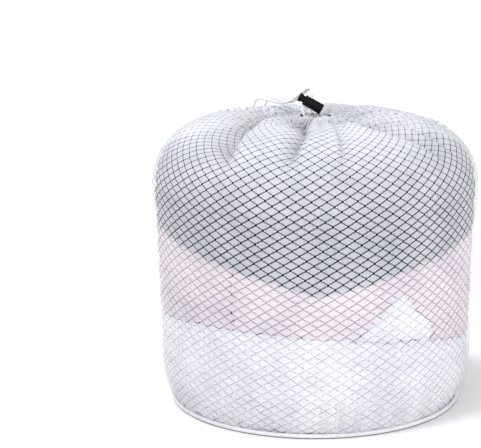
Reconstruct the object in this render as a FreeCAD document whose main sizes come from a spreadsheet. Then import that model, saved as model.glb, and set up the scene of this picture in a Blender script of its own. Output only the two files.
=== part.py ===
import FreeCAD, Part
import math
import os

import Sketcher
from FreeCAD import Placement, Rotation, Vector

# A drawstring laundry bag of knitted mesh, standing full on its round base.
# Millimetres. The origin is the middle of the base on the floor, +Z is up and the front faces -Y.

os.makedirs("parts", exist_ok=True)
doc = FreeCAD.newDocument("mesh_laundry_bag")

# ---------------------------------------------------------------- driving dimensions

SIZES = {
    # the filled bag
    "seam_radius": 146.5,
    "wall_radius": 157.0,
    "bag_radius": 162.0,
    "lower_height": 45.0,
    "shoulder_height": 218.5,
    "lower_arc": 95.0,
    "shoulder_arc": 62.0,
    "shoulder_sweep": 72.0,
    "crown_arc": 215.0,
    "mesh_thickness": 1.2,
    # base seam, side seam
    "binding_height": 4.6,
    "binding_width": 3.4,
    "binding_round": 0.8,
    "stitch_count": 120,
    "stitch_length": 5.0,
    "thread_diameter": 0.5,
    "tape_thickness": 0.8,
    "tape_sweep": 4.0,
    # cinched hem and the cord in it
    "hem_radius": 16.0,
    "mouth_radius": 5.0,
    "hem_rise": 1.15,
    "hem_height": 12.0,
    "hem_round": 1.0,
    "cord_diameter": 2.5,
    "cord_ring_radius": 10.5,
    "cord_bend": 3.5,
    "strand_gap": 0.5,
    "channel_clearance": 0.35,
    # cord lock
    "lock_hole_x": -7.0,
    "lock_lift": 13.5,
    "lock_tilt": 30.0,
    "barrel_diameter": 10.4,
    "barrel_bore": 7.6,
    "barrel_floor": 1.6,
    "rim_band": 1.5,
    "spring_room": 8.85,
    "press_travel": 2.5,
    "strand_play": 0.25,
    "stem_clearance": 0.3,
    "stem_foot": 2.6,
    "cap_diameter": 8.8,
    "cap_thickness": 3.4,
    "edge_round": 0.9,
    "spring_wire": 0.5,
    "spring_turns": 5.5,
    "spring_slack": 0.9,
    "spring_seat": 0.1,
    # knot at the cord's ends
    "knot_length": 12.0,
    "knot_depth": 9.2,
    "knot_height": 8.8,
    "knot_sink": 2.5,
    "knot_lift": 0.1,
    # folded laundry in the bag
    "load_gap": 3.0,
    "load_rise": 38.0,
    "dark_bottom": 140.0,
    "dark_valley_x": 6.0,
    "dark_rise_left": 15.0,
    "dark_rise_right": 14.0,
    "white_top": 77.5,
    "white_tilt_x": 8.3,
    "white_tilt_y": 4.4,
    "item_gap": 0.5,
    "corner_size": 66.0,
    "corner_depth": 40.0,
    "corner_peak": 139.5,
    "corner_bearing": 31.0,
    "pink_split_bearing": 30.0,
    "dark_split_bearing": 68.0,
}

sheet = doc.addObject("Spreadsheet::Sheet", "Sizes")
for row, (alias, value) in enumerate(SIZES.items(), start=1):
    sheet.set(f"A{row}", alias)
    sheet.set(f"B{row}", str(value))
    sheet.setAlias(f"B{row}", alias)
doc.recompute()


def size(alias):
    """The value of one cell of the sheet."""
    return float(getattr(sheet, alias))


parts = []


def sub_part(item, name):
    """Give a finished object its name and put it on the list to export."""
    item.Label = name
    parts.append(item)
    return item


def bind(item, **links):
    """Tie properties of an object to cells of the sheet."""
    for prop, formula in links.items():
        item.setExpression(prop.replace("__", "."), formula)


# ---------------------------------------------------------------- PartDesign helpers

def origin_plane(body, role):
    return next(f for f in body.Origin.OriginFeatures if f.Role == role)


def new_sketch(body, name, role):
    sketch = body.newObject("Sketcher::SketchObject", name)
    sketch.AttachmentSupport = [(origin_plane(body, role), "")]
    sketch.MapMode = "FlatFace"
    return sketch


def closed_outline(sketch, edges):
    """Add edges that follow each other round, join them end to end, and return their numbers."""
    numbers = [sketch.addGeometry(edge, False) for edge in edges]
    ends = [(i, j) for i in (1, 2) for j in (1, 2)]
    for this, after in zip(numbers, numbers[1:] + numbers[:1]):

        def apart(pair):
            return sketch.getPoint(this, pair[0]).distanceToPoint(sketch.getPoint(after, pair[1]))

        i, j = min(ends, key=apart)
        sketch.addConstraint(Sketcher.Constraint("Coincident", this, i, after, j))
    return numbers


def bind_radius(sketch, number, name, formula):
    """Tie an arc's radius to the sheet."""
    radius = sketch.Geometry[number].Radius
    index = sketch.addConstraint(Sketcher.Constraint("Radius", number, radius))
    sketch.renameConstraint(index, name)
    sketch.setExpression(f"Constraints.{name}", formula)


def revolve(body, sketch, name, kind="PartDesign::Revolution", sweep=360.0):
    """Turn a sketch about its vertical axis, to add or to cut, evenly to both sides of its plane."""
    turned = body.newObject(kind, name)
    turned.Profile = sketch
    turned.ReferenceAxis = (sketch, ["V_Axis"])
    turned.Midplane = True
    turned.Angle = sweep
    return turned


def line(a, b):
    return Part.LineSegment(a, b)


def polyline(corners):
    """Straight edges round a closed outline."""
    return [line(a, b) for a, b in zip(corners, corners[1:] + corners[:1])]


# ---------------------------------------------------------------- outline of the filled bag

def turned_point(centre, radius, degrees):
    """The point on a circle, in the plane of radius and height."""
    angle = math.radians(degrees)
    return Vector(centre.x + radius * math.cos(angle), centre.y + radius * math.sin(angle), 0)


def arc_edge(centre, radius, start, end):
    """An arc from start to end degrees, whichever way round."""
    ends = (turned_point(centre, radius, start), turned_point(centre, radius, end))
    middle = turned_point(centre, radius, (start + end) / 2)
    return Part.Arc(ends[0], middle, ends[1])


def lower_centre():
    """Centre of the arc that draws the wall in to the base seam, through both its ends."""
    low = Vector(size("seam_radius"), size("binding_height"), 0)
    high = Vector(size("wall_radius"), size("lower_height"), 0)
    half = (high - low) / 2
    reach = math.sqrt(size("lower_arc") ** 2 - half.Length ** 2)
    inward = Vector(-half.y, half.x, 0).normalize()
    return low + half + inward * reach


def bearing_from(centre, point):
    return math.degrees(math.atan2(point.y - centre.y, point.x - centre.x))


def profile(inset, neck):
    """Edges of the bag's outline, from the base seam up to a neck of the given radius."""
    drawn_in = lower_centre()
    low = Vector(size("seam_radius"), size("binding_height"), 0)
    high = Vector(size("wall_radius"), size("lower_height"), 0)
    lower = size("lower_arc") - inset
    first = bearing_from(drawn_in, low)
    last = bearing_from(drawn_in, high)
    shoulder = Vector(size("bag_radius") - size("shoulder_arc"), size("shoulder_height"), 0)
    sweep = size("shoulder_sweep")
    reach = size("shoulder_arc") - inset
    crown = turned_point(shoulder, size("shoulder_arc") - size("crown_arc"), sweep)
    dome = size("crown_arc") - inset
    over = math.degrees(math.acos((neck - crown.x) / dome))
    return [
        arc_edge(drawn_in, lower, first, last),
        line(turned_point(drawn_in, lower, last), turned_point(shoulder, reach, 0)),
        arc_edge(shoulder, reach, 0, sweep),
        arc_edge(crown, dome, sweep, over),
    ]


def start_of(edge):
    return edge.value(edge.FirstParameter)


def end_of(edge):
    return edge.value(edge.LastParameter)


def backwards(edges):
    """The same edges run the other way."""
    turned = []
    for edge in reversed(edges):
        if isinstance(edge, Part.LineSegment):
            turned.append(line(edge.EndPoint, edge.StartPoint))
        else:
            middle = edge.value((edge.FirstParameter + edge.LastParameter) / 2)
            turned.append(Part.Arc(end_of(edge), middle, start_of(edge)))
    return turned


def band(inner_inset, outer_inset, neck):
    """The closed outline of a layer of the wall between two insets from the outer face."""
    outside = profile(outer_inset, neck)
    inside = backwards(profile(inner_inset, neck))
    return (
        outside
        + [line(end_of(outside[-1]), start_of(inside[0]))]
        + inside
        + [line(end_of(inside[-1]), start_of(outside[0]))]
    )


# ---------------------------------------------------------------- mesh panels, binding and tape

def side_panel():
    """The tube of mesh, cut as one rectangle, from the base seam to the hem."""
    body = doc.addObject("PartDesign::Body", "SidePanel")
    section = new_sketch(body, "SidePanelSection", "XZ_Plane")
    numbers = closed_outline(section, band(size("mesh_thickness"), 0.0, size("hem_radius")))
    bind_radius(section, numbers[2], "shoulder", "Sizes.shoulder_arc")
    bind_radius(section, numbers[3], "crown", "Sizes.crown_arc")
    revolve(body, section, "SidePanelTube")
    return sub_part(body, "mesh_side_panel")


def seam_tape():
    """The tape that covers the tube's one upright seam, inside the back of the bag."""
    body = doc.addObject("PartDesign::Body", "SeamTape")
    section = new_sketch(body, "SeamTapeSection", "XZ_Plane")
    face = size("mesh_thickness")
    neck = size("hem_radius") + size("item_gap")
    closed_outline(section, band(face + size("tape_thickness"), face, neck))
    turned = revolve(body, section, "SeamTapeStrip", sweep=size("tape_sweep"))
    bind(turned, Angle="Sizes.tape_sweep")
    body.Placement = Placement(Vector(0, 0, 0), Rotation(Vector(0, 0, 1), 90))
    return sub_part(body, "side_seam_tape")


BINDING_OUTER = "(Sizes.seam_radius + Sizes.mesh_thickness)"
BINDING_INNER = "(Sizes.seam_radius + Sizes.mesh_thickness - Sizes.binding_width)"


def base_panel():
    """The round bottom of the bag, out to the binding."""
    disc = doc.addObject("Part::Cylinder", "BasePanel")
    bind(disc, Radius=BINDING_INNER, Height="Sizes.mesh_thickness")
    return sub_part(disc, "mesh_base_panel")


def seam_binding():
    """The tape folded over the raw edges where the tube meets the base."""
    outer = doc.addObject("Part::Cylinder", "BindingOuter")
    bind(outer, Radius=BINDING_OUTER, Height="Sizes.binding_height")
    inner = doc.addObject("Part::Cylinder", "BindingInner")
    bind(inner, Radius=BINDING_INNER, Height="Sizes.binding_height")
    ring = doc.addObject("Part::Cut", "BindingRing")
    ring.Base = outer
    ring.Tool = inner
    doc.recompute()
    edges = [
        index
        for index, edge in enumerate(ring.Shape.Edges, start=1)
        if isinstance(edge.Curve, Part.Circle)
        and abs(edge.Curve.Radius - outer.Radius.Value) < 1e-6
    ]
    rounded = doc.addObject("Part::Fillet", "BindingRounded")
    rounded.Base = ring
    rounded.Edges = [(index, size("binding_round"), size("binding_round")) for index in edges]
    return sub_part(rounded, "base_seam_binding")


def binding_stitches():
    """The row of stitches round the binding, each pressed a little into the tape."""
    radius = size("thread_diameter") / 2
    face = size("seam_radius") + size("mesh_thickness")
    length = size("stitch_length")
    count = int(size("stitch_count"))
    foot = Vector(face + radius / 2, -length / 2, size("binding_height") / 2)
    stitches = []
    for index in range(count):
        stitch = Part.makeCylinder(radius, length, foot, Vector(0, 1, 0))
        stitch.rotate(Vector(0, 0, 0), Vector(0, 0, 1), 360.0 * index / count)
        stitches.append(stitch)
    group = doc.addObject("Part::Feature", "BindingStitches")
    group.Shape = Part.makeCompound(stitches)
    return sub_part(group, "base_seam_stitches")


# ---------------------------------------------------------------- hem at the mouth

def hem_top():
    """Height of the hem's top, just above the edge of the mesh that it is folded from."""
    return end_of(profile(0.0, size("hem_radius"))[-1]).y + size("hem_rise")


def hem_middle():
    """Height of the cord inside the hem."""
    return hem_top() - size("hem_height") / 2


def drawcord_channel():
    """The gathered hem: a ring with a round channel in it, and a slot where the cord comes out."""
    body = doc.addObject("PartDesign::Body", "Channel")
    high = hem_top()
    low = high - size("hem_height")
    inner = size("mouth_radius")
    outer = size("hem_radius")
    section = new_sketch(body, "ChannelSection", "XZ_Plane")
    corners = [Vector(inner, low), Vector(outer, low), Vector(outer, high), Vector(inner, high)]
    closed_outline(section, polyline(corners))
    ring = revolve(body, section, "ChannelRing")
    doc.recompute()
    solid_ring = ring.Shape.Volume

    bore = new_sketch(body, "ChannelBore", "XZ_Plane")
    centre = Vector(size("cord_ring_radius"), hem_middle(), 0)
    circle = bore.addGeometry(Part.Circle(centre, Vector(0, 0, 1), channel_radius()), False)
    bind_radius(bore, circle, "bore", "Sizes.cord_diameter / 2 + Sizes.channel_clearance")
    groove = revolve(body, bore, "ChannelGroove", kind="PartDesign::Groove")
    doc.recompute()
    bored_ring = groove.Shape.Volume

    slot = new_sketch(body, "ChannelSlot", "XY_Plane")
    exit_x, exit_y = strand_exit()
    near = exit_x + channel_radius() + size("cord_bend") / 2
    far = exit_x - channel_radius()
    side = exit_y + size("cord_bend") + channel_radius()
    closed_outline(
        slot, polyline([Vector(far, -side), Vector(near, -side), Vector(near, side), Vector(far, side)])
    )
    slot.AttachmentOffset = Placement(Vector(0, 0, hem_middle() - channel_radius()), Rotation())
    pocket = body.newObject("PartDesign::Pocket", "ChannelExit")
    pocket.Profile = slot
    pocket.Reversed = True
    pocket.Length = size("hem_height")
    doc.recompute()
    assert pocket.Shape.Volume < bored_ring < solid_ring, "the hem's channel or slot cuts nothing"

    edges = [
        f"Edge{index}"
        for index, edge in enumerate(pocket.Shape.Edges, start=1)
        if isinstance(edge.Curve, Part.Circle) and abs(edge.Curve.Radius - outer) < 1e-6
    ]
    rounded = body.newObject("PartDesign::Fillet", "ChannelRounded")
    rounded.Base = (pocket, edges)
    bind(rounded, Radius="Sizes.hem_round")
    return sub_part(body, "drawcord_channel")


def channel_radius():
    return size("cord_diameter") / 2 + size("channel_clearance")


def exit_angle():
    """Half the angle of the ring's gap, which brings the two bent ends out side by side."""
    ring = size("cord_ring_radius")
    bend = size("cord_bend")
    half = strand_spacing() / 2
    return math.atan2(bend, ring) + math.asin(half / math.hypot(ring, bend))


def strand_spacing():
    """From one strand's centre line to the other's where they leave the hem."""
    return size("cord_diameter") + size("strand_gap")


def strand_exit():
    """Where the strands leave the hem, on its -X side: their x, and their distance from y = 0."""
    ring = size("cord_ring_radius")
    bend = size("cord_bend")
    angle = exit_angle()
    return -(ring * math.cos(angle) + bend * math.sin(angle)), strand_spacing() / 2


def rope(wire, name):
    """A round cord of the sheet's diameter along a smooth wire."""
    start = wire.Edges[0]
    point = start.valueAt(start.FirstParameter)
    heading = start.tangentAt(start.FirstParameter)
    ring = Part.makeCircle(size("cord_diameter") / 2, point, heading)
    cord = doc.addObject("Part::Feature", name)
    cord.Shape = wire.makePipeShell([Part.Wire(ring)], True, False)
    return cord


def drawcord_loop():
    """The cord inside the hem: most of a ring, with both ends bent up to the slot."""
    ring = size("cord_ring_radius")
    bend = size("cord_bend")
    height = hem_middle()
    exit_x, exit_y = strand_exit()
    gap = math.pi - exit_angle()

    def on_ring(angle):
        return Vector(ring * math.cos(angle), ring * math.sin(angle), height)

    def bent_end(side):
        """One end, from the ring to the top of the hem."""
        ring_end = on_ring(side * gap)
        upright = Vector(exit_x, side * exit_y, height + bend)
        along = Vector(upright.x - ring_end.x, upright.y - ring_end.y, 0)
        diagonal = math.sqrt(0.5)
        middle = ring_end + along * diagonal + Vector(0, 0, bend * (1 - diagonal))
        top = Vector(exit_x, side * exit_y, hem_top())
        return Part.Arc(ring_end, middle, upright).toShape(), Part.LineSegment(upright, top).toShape()

    turn = Part.Arc(on_ring(-gap), on_ring(0), on_ring(gap)).toShape()
    front = bent_end(-1)
    rear = bent_end(1)
    wire = Part.Wire([front[1], front[0], turn, rear[0], rear[1]])
    return sub_part(rope(wire, "Loop"), "drawcord_loop")


# ---------------------------------------------------------------- free ends of the drawcord

# Each route starts at the hem's slot, goes up through the lock, folds over behind it, lies down
# the back of the dome and the wall, and ends in the knot on the floor behind the bag.
FRONT_STRAND = [
    (-11.0, -1.5, 286.0),
    (-11.4, -1.7, 288.5),
    (-12.5, -1.3, 291.0),
    (-12.2, 0.0, 293.2),
    (-4.2, 0.0, 307.1),
    (-3.2, 2.8, 310.9),
    (-5.6, 7.6, 312.3),
    (-11.6, 11.4, 308.7),
    (-20.5, 15.6, 300.5),
    (-31.0, 22.5, 294.1),
    (-41.0, 40.0, 293.7),
    (-50.0, 66.0, 292.5),
    (-63.0, 98.0, 290.0),
    (-67.0, 128.0, 270.5),
    (-77.0, 144.0, 244.5),
    (-74.0, 151.5, 210.0),
    (-78.0, 147.0, 163.0),
    (-71.0, 149.5, 113.5),
    (-75.0, 146.0, 66.0),
    (-70.0, 147.5, 30.0),
    (-66.0, 156.0, 8.0),
    (-52.0, 166.0, 1.6),
    (-30.0, 172.5, 1.4),
    (-6.0, 174.0, 1.4),
    (16.0, 170.0, 3.0),
]
REAR_STRAND = [
    (-11.0, 1.5, 286.0),
    (-10.7, 1.7, 288.0),
    (-9.7, 1.4, 289.9),
    (-9.8, 0.0, 291.9),
    (-1.8, 0.0, 305.8),
    (0.0, 3.6, 310.1),
    (-2.0, 9.6, 312.4),
    (-8.0, 15.0, 308.9),
    (-16.0, 20.2, 300.5),
    (-24.5, 29.5, 294.1),
    (-37.0, 49.0, 293.9),
    (-40.0, 76.0, 292.3),
    (-50.0, 108.0, 289.0),
    (-57.0, 138.0, 269.5),
    (-62.0, 155.0, 241.5),
    (-63.0, 158.5, 206.0),
    (-58.0, 156.5, 159.0),
    (-63.0, 152.5, 109.5),
    (-56.0, 154.5, 61.0),
    (-58.0, 154.5, 26.0),
    (-52.0, 160.5, 5.5),
    (-38.0, 165.5, 1.4),
    (-19.0, 168.0, 1.4),
    (-1.0, 166.5, 1.4),
    (16.0, 165.0, 3.0),
]
ARC_SHARE = 0.45


def rounded_route(points):
    """Straight runs joined by the largest tangent arcs that they allow, and the arcs' radii."""
    corners = [Vector(*point) for point in points]
    edges = []
    radii = []
    at = corners[0]
    for before, corner, after in zip(corners, corners[1:], corners[2:]):
        back = (before - corner).normalize()
        ahead = (after - corner).normalize()
        turn = math.pi - back.getAngle(ahead)
        reach = ARC_SHARE * min((before - corner).Length, (after - corner).Length)
        radius = reach / math.tan(turn / 2)
        radii.append(radius)
        into = corner + back * reach
        out = corner + ahead * reach
        inward = (back + ahead).normalize()
        middle = corner + inward * (radius / math.cos(turn / 2) - radius)
        edges.append(Part.LineSegment(at, into).toShape())
        edges.append(Part.Arc(into, middle, out).toShape())
        at = out
    edges.append(Part.LineSegment(at, corners[-1]).toShape())
    return Part.Wire(edges), radii


def drawcord_tail(points, name):
    """One free end of the cord."""
    wire, radii = rounded_route(points)
    cord = rope(wire, name)
    section = math.pi * size("cord_diameter") ** 2 / 4
    ratio = cord.Shape.Volume / (section * wire.Length)
    print(name, "length", round(wire.Length, 1), "volume ratio", round(ratio, 4))
    print(name, "radii", [round(radius, 1) for radius in radii])
    return sub_part(cord, name)


def end_knot():
    """The knot that ties both ends together."""
    middle = (Vector(*FRONT_STRAND[-1]) + Vector(*REAR_STRAND[-1])) / 2
    knot = doc.addObject("Part::Ellipsoid", "Knot")
    bind(
        knot,
        Radius1="Sizes.knot_height / 2",
        Radius2="Sizes.knot_length / 2",
        Radius3="Sizes.knot_depth / 2",
    )
    knot.Angle1 = -90
    knot.Angle2 = 90
    knot.Angle3 = 360
    x = middle.x + size("knot_length") / 2 - size("knot_sink")
    z = size("knot_height") / 2 + size("knot_lift")
    knot.Placement = Placement(Vector(x, middle.y, z), Rotation())
    return sub_part(knot, "drawcord_end_knot")


# ---------------------------------------------------------------- cord lock

# The lock's parts are drawn upright about the centre of the hole that both strands pass through:
# local Z runs up to the button's cap, local X is the way through the hole.

ARCS_IN_A_TURN = 4


def lock_placement():
    centre = Vector(size("lock_hole_x"), 0, hem_top() + size("lock_lift"))
    return Placement(centre, Rotation(Vector(0, 1, 0), size("lock_tilt") - 90))


def hole_reach():
    """Half the length of the hole, along the lock."""
    return size("cord_diameter") + size("strand_play")


def strand_slot(body, name, low, high):
    """A slot for both strands, right through along local X, with round ends up and down."""
    sketch = new_sketch(body, f"{name}Outline", "YZ_Plane")
    half = size("cord_diameter") / 2 + size("strand_play")
    bottom = Vector(0, low + half, 0)
    top = Vector(0, high - half, 0)
    edges = [
        line(Vector(half, bottom.y, 0), Vector(half, top.y, 0)),
        arc_edge(top, half, 0, 180),
        line(Vector(-half, top.y, 0), Vector(-half, bottom.y, 0)),
        arc_edge(bottom, half, 180, 360),
    ]
    closed_outline(sketch, edges)
    pocket = body.newObject("PartDesign::Pocket", name)
    pocket.Profile = sketch
    pocket.Midplane = True
    pocket.Type = "ThroughAll"
    return pocket


def lock_levels():
    """Heights along the lock, from the cap's top down to the barrel's closed end."""
    reach = hole_reach()
    rim = reach + size("rim_band")
    cap_low = rim + size("press_travel") + size("stem_clearance")
    foot = -reach - size("stem_foot")
    floor = foot - size("spring_room")
    return {
        "cap_top": cap_low + size("cap_thickness"),
        "cap_low": cap_low,
        "rim": rim,
        "foot": foot,
        "floor": floor,
        "end": floor - size("barrel_floor"),
    }


def turned_part(body, name, corners):
    """A solid turned from an outline of radii and heights, in the body's own frame."""
    sketch = new_sketch(body, f"{name}Section", "XZ_Plane")
    closed_outline(sketch, polyline([Vector(*corner) for corner in corners]))
    return revolve(body, sketch, name)


def round_edges(body, base, name, radius, height):
    """Round the circular edges of a given radius at a given height."""
    doc.recompute()
    edges = [
        f"Edge{index}"
        for index, edge in enumerate(base.Shape.Edges, start=1)
        if isinstance(edge.Curve, Part.Circle)
        and abs(edge.Curve.Radius - radius) < 1e-6
        and abs(edge.Curve.Center.z - height) < 1e-6
    ]
    rounded = body.newObject("PartDesign::Fillet", name)
    rounded.Base = (base, edges)
    bind(rounded, Radius="Sizes.edge_round")
    return rounded


def lock_barrel():
    """A cup with a slot across it for both strands."""
    at = lock_levels()
    body = doc.addObject("PartDesign::Body", "Barrel")
    outer = size("barrel_diameter") / 2
    bore = size("barrel_bore") / 2
    cup = turned_part(body, "BarrelCup", [
        (0, at["end"]),
        (outer, at["end"]),
        (outer, at["rim"]),
        (bore, at["rim"]),
        (bore, at["floor"]),
        (0, at["floor"]),
    ])
    round_edges(body, cup, "BarrelEnd", outer, at["end"])
    strand_slot(body, "BarrelSlot", -hole_reach(), hole_reach())
    body.Placement = lock_placement()
    return sub_part(body, "cord_lock_barrel")


def lock_plunger():
    """The button: a cap on a stem, whose slot traps the strands when the spring lifts it."""
    at = lock_levels()
    body = doc.addObject("PartDesign::Body", "Plunger")
    stem = size("barrel_bore") / 2 - size("stem_clearance")
    cap = size("cap_diameter") / 2
    button = turned_part(body, "PlungerButton", [
        (0, at["foot"]),
        (stem, at["foot"]),
        (stem, at["cap_low"]),
        (cap, at["cap_low"]),
        (cap, at["cap_top"]),
        (0, at["cap_top"]),
    ])
    round_edges(body, button, "PlungerCap", cap, at["cap_top"])
    strand_slot(
        body, "PlungerSlot", -hole_reach(), hole_reach() + size("press_travel") + size("strand_play")
    )
    body.Placement = lock_placement()
    return sub_part(body, "cord_lock_plunger")


def lock_spring():
    """The coil between the barrel's floor and the stem's foot."""
    at = lock_levels()
    wire_radius = size("spring_wire") / 2
    end_room = wire_radius + size("spring_seat")
    radius = size("barrel_bore") / 2 - size("spring_slack") - wire_radius
    length = size("spring_room") - 2 * end_room
    turns = size("spring_turns")

    def on_coil(turn):
        angle = 2 * math.pi * turn
        return Vector(radius * math.cos(angle), radius * math.sin(angle), length * turn / turns)

    steps = round(turns * ARCS_IN_A_TURN)
    coil = []
    for step in range(steps):
        start, middle, end = [turns * (step + part) / steps for part in (0, 0.5, 1)]
        coil.append(Part.Arc(on_coil(start), on_coil(middle), on_coil(end)).toShape())
    heading = coil[0].tangentAt(coil[0].FirstParameter)
    ring = Part.makeCircle(wire_radius, on_coil(0), heading)
    spring = doc.addObject("Part::Feature", "Spring")
    spring.Shape = Part.Wire(coil).makePipeShell([Part.Wire(ring)], True, False)
    lift = Placement(Vector(0, 0, at["floor"] + end_room), Rotation())
    spring.Placement = lock_placement() * lift
    return sub_part(spring, "cord_lock_spring")


# ---------------------------------------------------------------- laundry

REACH = 400.0  # half the width of a block that is sure to be larger than the bag


def load_form():
    """Everything that fills the bag, as one solid, clear of the mesh and flat on top."""
    body = doc.addObject("PartDesign::Body", "LoadForm")
    inset = size("load_gap")
    wall = profile(inset, size("hem_radius"))
    shoulder = Vector(size("bag_radius") - size("shoulder_arc"), size("shoulder_height"), 0)
    reach = size("shoulder_arc") - inset
    top_angle = math.degrees(math.asin(size("load_rise") / reach))
    top = shoulder.y + size("load_rise")
    shoulder_edge = arc_edge(shoulder, reach, 0, top_angle)
    low = size("mesh_thickness") + size("item_gap")
    foot = Vector(start_of(wall[0]).x - size("item_gap"), low, 0)
    edges = [
        line(Vector(0, low, 0), foot),
        line(foot, start_of(wall[0])),
        wall[0],
        wall[1],
        shoulder_edge,
        line(end_of(shoulder_edge), Vector(0, top, 0)),
        line(Vector(0, top, 0), Vector(0, low, 0)),
    ]
    section = new_sketch(body, "LoadSection", "XZ_Plane")
    closed_outline(section, edges)
    revolve(body, section, "LoadSolid")
    return body


def region(name, placement, corner):
    """A block larger than the bag, whose low corner is at a point of a placement's own frame."""
    block = doc.addObject("Part::Box", name)
    block.Length = 2 * REACH
    block.Width = 2 * REACH
    block.Height = REACH
    block.Placement = placement * Placement(corner, Rotation())
    return block


def half(name, bearing):
    """All that lies to the right of an upright plane through Z at a bearing from the front."""
    turned = Placement(Vector(0, 0, 0), Rotation(Vector(0, 0, 1), bearing))
    return region(name, turned, Vector(size("item_gap") / 2, -REACH, -size("item_gap")))


def over(name, placement):
    """All that lies over a placement's own XY plane."""
    return region(name, placement, Vector(-REACH, -REACH, 0))


def under(name, placement):
    """All that lies under a placement's own XY plane."""
    return region(name, placement, Vector(-REACH, -REACH, -REACH))


def common(name, shapes):
    item = doc.addObject("Part::MultiCommon", name)
    item.Shapes = shapes
    return item


def cut(name, base, tool):
    item = doc.addObject("Part::Cut", name)
    item.Base = base
    item.Tool = tool
    return item


def tilted(height):
    """Placement of the slanting face between white and pink, at a height on the Z axis."""
    turn = Rotation(Vector(0, 1, 0), size("white_tilt_y")) * Rotation(
        Vector(1, 0, 0), -size("white_tilt_x")
    )
    return Placement(Vector(0, 0, height), turn)


def over_valley(name, height):
    """All that lies over two slanting planes, which meet in a valley at a height."""
    valley = Vector(size("dark_valley_x"), 0, height)
    left = Placement(valley, Rotation(Vector(0, 1, 0), size("dark_rise_left")))
    right = Placement(valley, Rotation(Vector(0, 1, 0), -size("dark_rise_right")))
    return common(name, [over(f"{name}Left", left), over(f"{name}Right", right)])


def corner_prism(name, margin):
    """A square bar on its edge that points out of the bag, for the white corner that shows."""
    bar = doc.addObject("Part::Box", name)
    side = size("corner_size") + 2 * margin
    depth = size("corner_depth") + margin
    bar.Length = side
    bar.Width = REACH
    bar.Height = side
    centre = size("corner_peak") - size("corner_size") / math.sqrt(2)
    turn = Rotation(Vector(0, 0, 1), size("corner_bearing") + 180)
    stand = Placement(Vector(0, size("bag_radius") - depth, centre), Rotation(Vector(0, 1, 0), 45))
    bar.Placement = (
        Placement(Vector(0, 0, 0), turn) * stand * Placement(Vector(-side / 2, 0, -side / 2), Rotation())
    )
    return bar


def laundry():
    """White below, pink in the middle and dark above, each folded in two, a gap apart."""
    form = load_form()
    gap = size("item_gap")

    dark = common("Dark", [form, over_valley("DarkValley", size("dark_bottom") + gap / 2)])
    bearing = size("dark_split_bearing")
    sub_part(common("DarkRight", [dark, half("DarkRightHalf", bearing)]), "dark_laundry_right")
    sub_part(common("DarkLeft", [dark, half("DarkLeftHalf", bearing + 180)]), "dark_laundry_left")

    white = under("UnderWhite", tilted(size("white_top") - gap / 2))
    sub_part(common("WhiteLower", [form, white]), "white_laundry_lower")

    over_white = over("OverWhite", tilted(size("white_top") + gap / 2))
    above = common("AboveWhite", [form, over_white])
    middle = cut("Middle", above, over_valley("DarkRoom", size("dark_bottom") - gap / 2))
    sub_part(common("WhiteCorner", [middle, corner_prism("CornerBar", 0.0)]), "white_laundry_corner")

    pink = cut("Pink", middle, corner_prism("CornerRoom", gap))
    bearing = -size("pink_split_bearing")
    sub_part(common("PinkRight", [pink, half("PinkRightHalf", bearing)]), "pink_laundry_right")
    sub_part(common("PinkLeft", [pink, half("PinkLeftHalf", bearing + 180)]), "pink_laundry_left")


# ---------------------------------------------------------------- build, check and write

side_panel()
seam_tape()
base_panel()
seam_binding()
binding_stitches()
drawcord_channel()
drawcord_loop()
drawcord_tail(FRONT_STRAND, "drawcord_tail_front")
drawcord_tail(REAR_STRAND, "drawcord_tail_rear")
end_knot()
lock_barrel()
lock_plunger()
lock_spring()
laundry()

doc.recompute()
for item in doc.Objects:
    if "Invalid" in item.State or "Error" in item.State:
        raise RuntimeError(f"{item.Name} did not build: {item.State}")
for item in parts:
    if item.Shape.isNull() or not item.Shape.isValid():
        raise RuntimeError(f"{item.Label} has no valid shape")
    item.Shape.exportStep(f"parts/{item.Label}.step")
    print(item.Label, "solids", len(item.Shape.Solids), "volume", round(item.Shape.Volume, 1))
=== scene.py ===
import math

import bmesh
import bpy
import numpy as np
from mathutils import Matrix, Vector
from mathutils.geometry import delaunay_2d_cdt


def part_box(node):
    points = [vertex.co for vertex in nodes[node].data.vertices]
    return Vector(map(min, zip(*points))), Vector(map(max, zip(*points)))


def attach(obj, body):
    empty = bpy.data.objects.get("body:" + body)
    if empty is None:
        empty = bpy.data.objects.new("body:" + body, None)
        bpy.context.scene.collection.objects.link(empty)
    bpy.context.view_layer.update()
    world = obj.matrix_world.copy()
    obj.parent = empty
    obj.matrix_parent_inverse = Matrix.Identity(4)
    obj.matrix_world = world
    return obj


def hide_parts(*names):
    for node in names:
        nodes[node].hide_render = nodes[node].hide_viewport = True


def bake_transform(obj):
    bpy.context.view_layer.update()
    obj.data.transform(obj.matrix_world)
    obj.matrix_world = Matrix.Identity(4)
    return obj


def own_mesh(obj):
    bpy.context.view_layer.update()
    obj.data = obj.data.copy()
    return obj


# A drawstring laundry bag of diamond knit mesh, full of folded clothes, with a push-button cord
# lock. Metres. The bag stands on z = 0, its front faces -Y, and a bearing is an angle from the
# front towards +X.

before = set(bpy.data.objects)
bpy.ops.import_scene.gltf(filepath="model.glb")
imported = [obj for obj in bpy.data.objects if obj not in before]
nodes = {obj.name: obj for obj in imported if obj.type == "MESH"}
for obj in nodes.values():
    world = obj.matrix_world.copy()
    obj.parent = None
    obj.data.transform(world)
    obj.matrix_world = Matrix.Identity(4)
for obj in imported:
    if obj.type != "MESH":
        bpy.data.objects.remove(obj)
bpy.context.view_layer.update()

# ---------------------------------------------------------------- sizes

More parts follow.
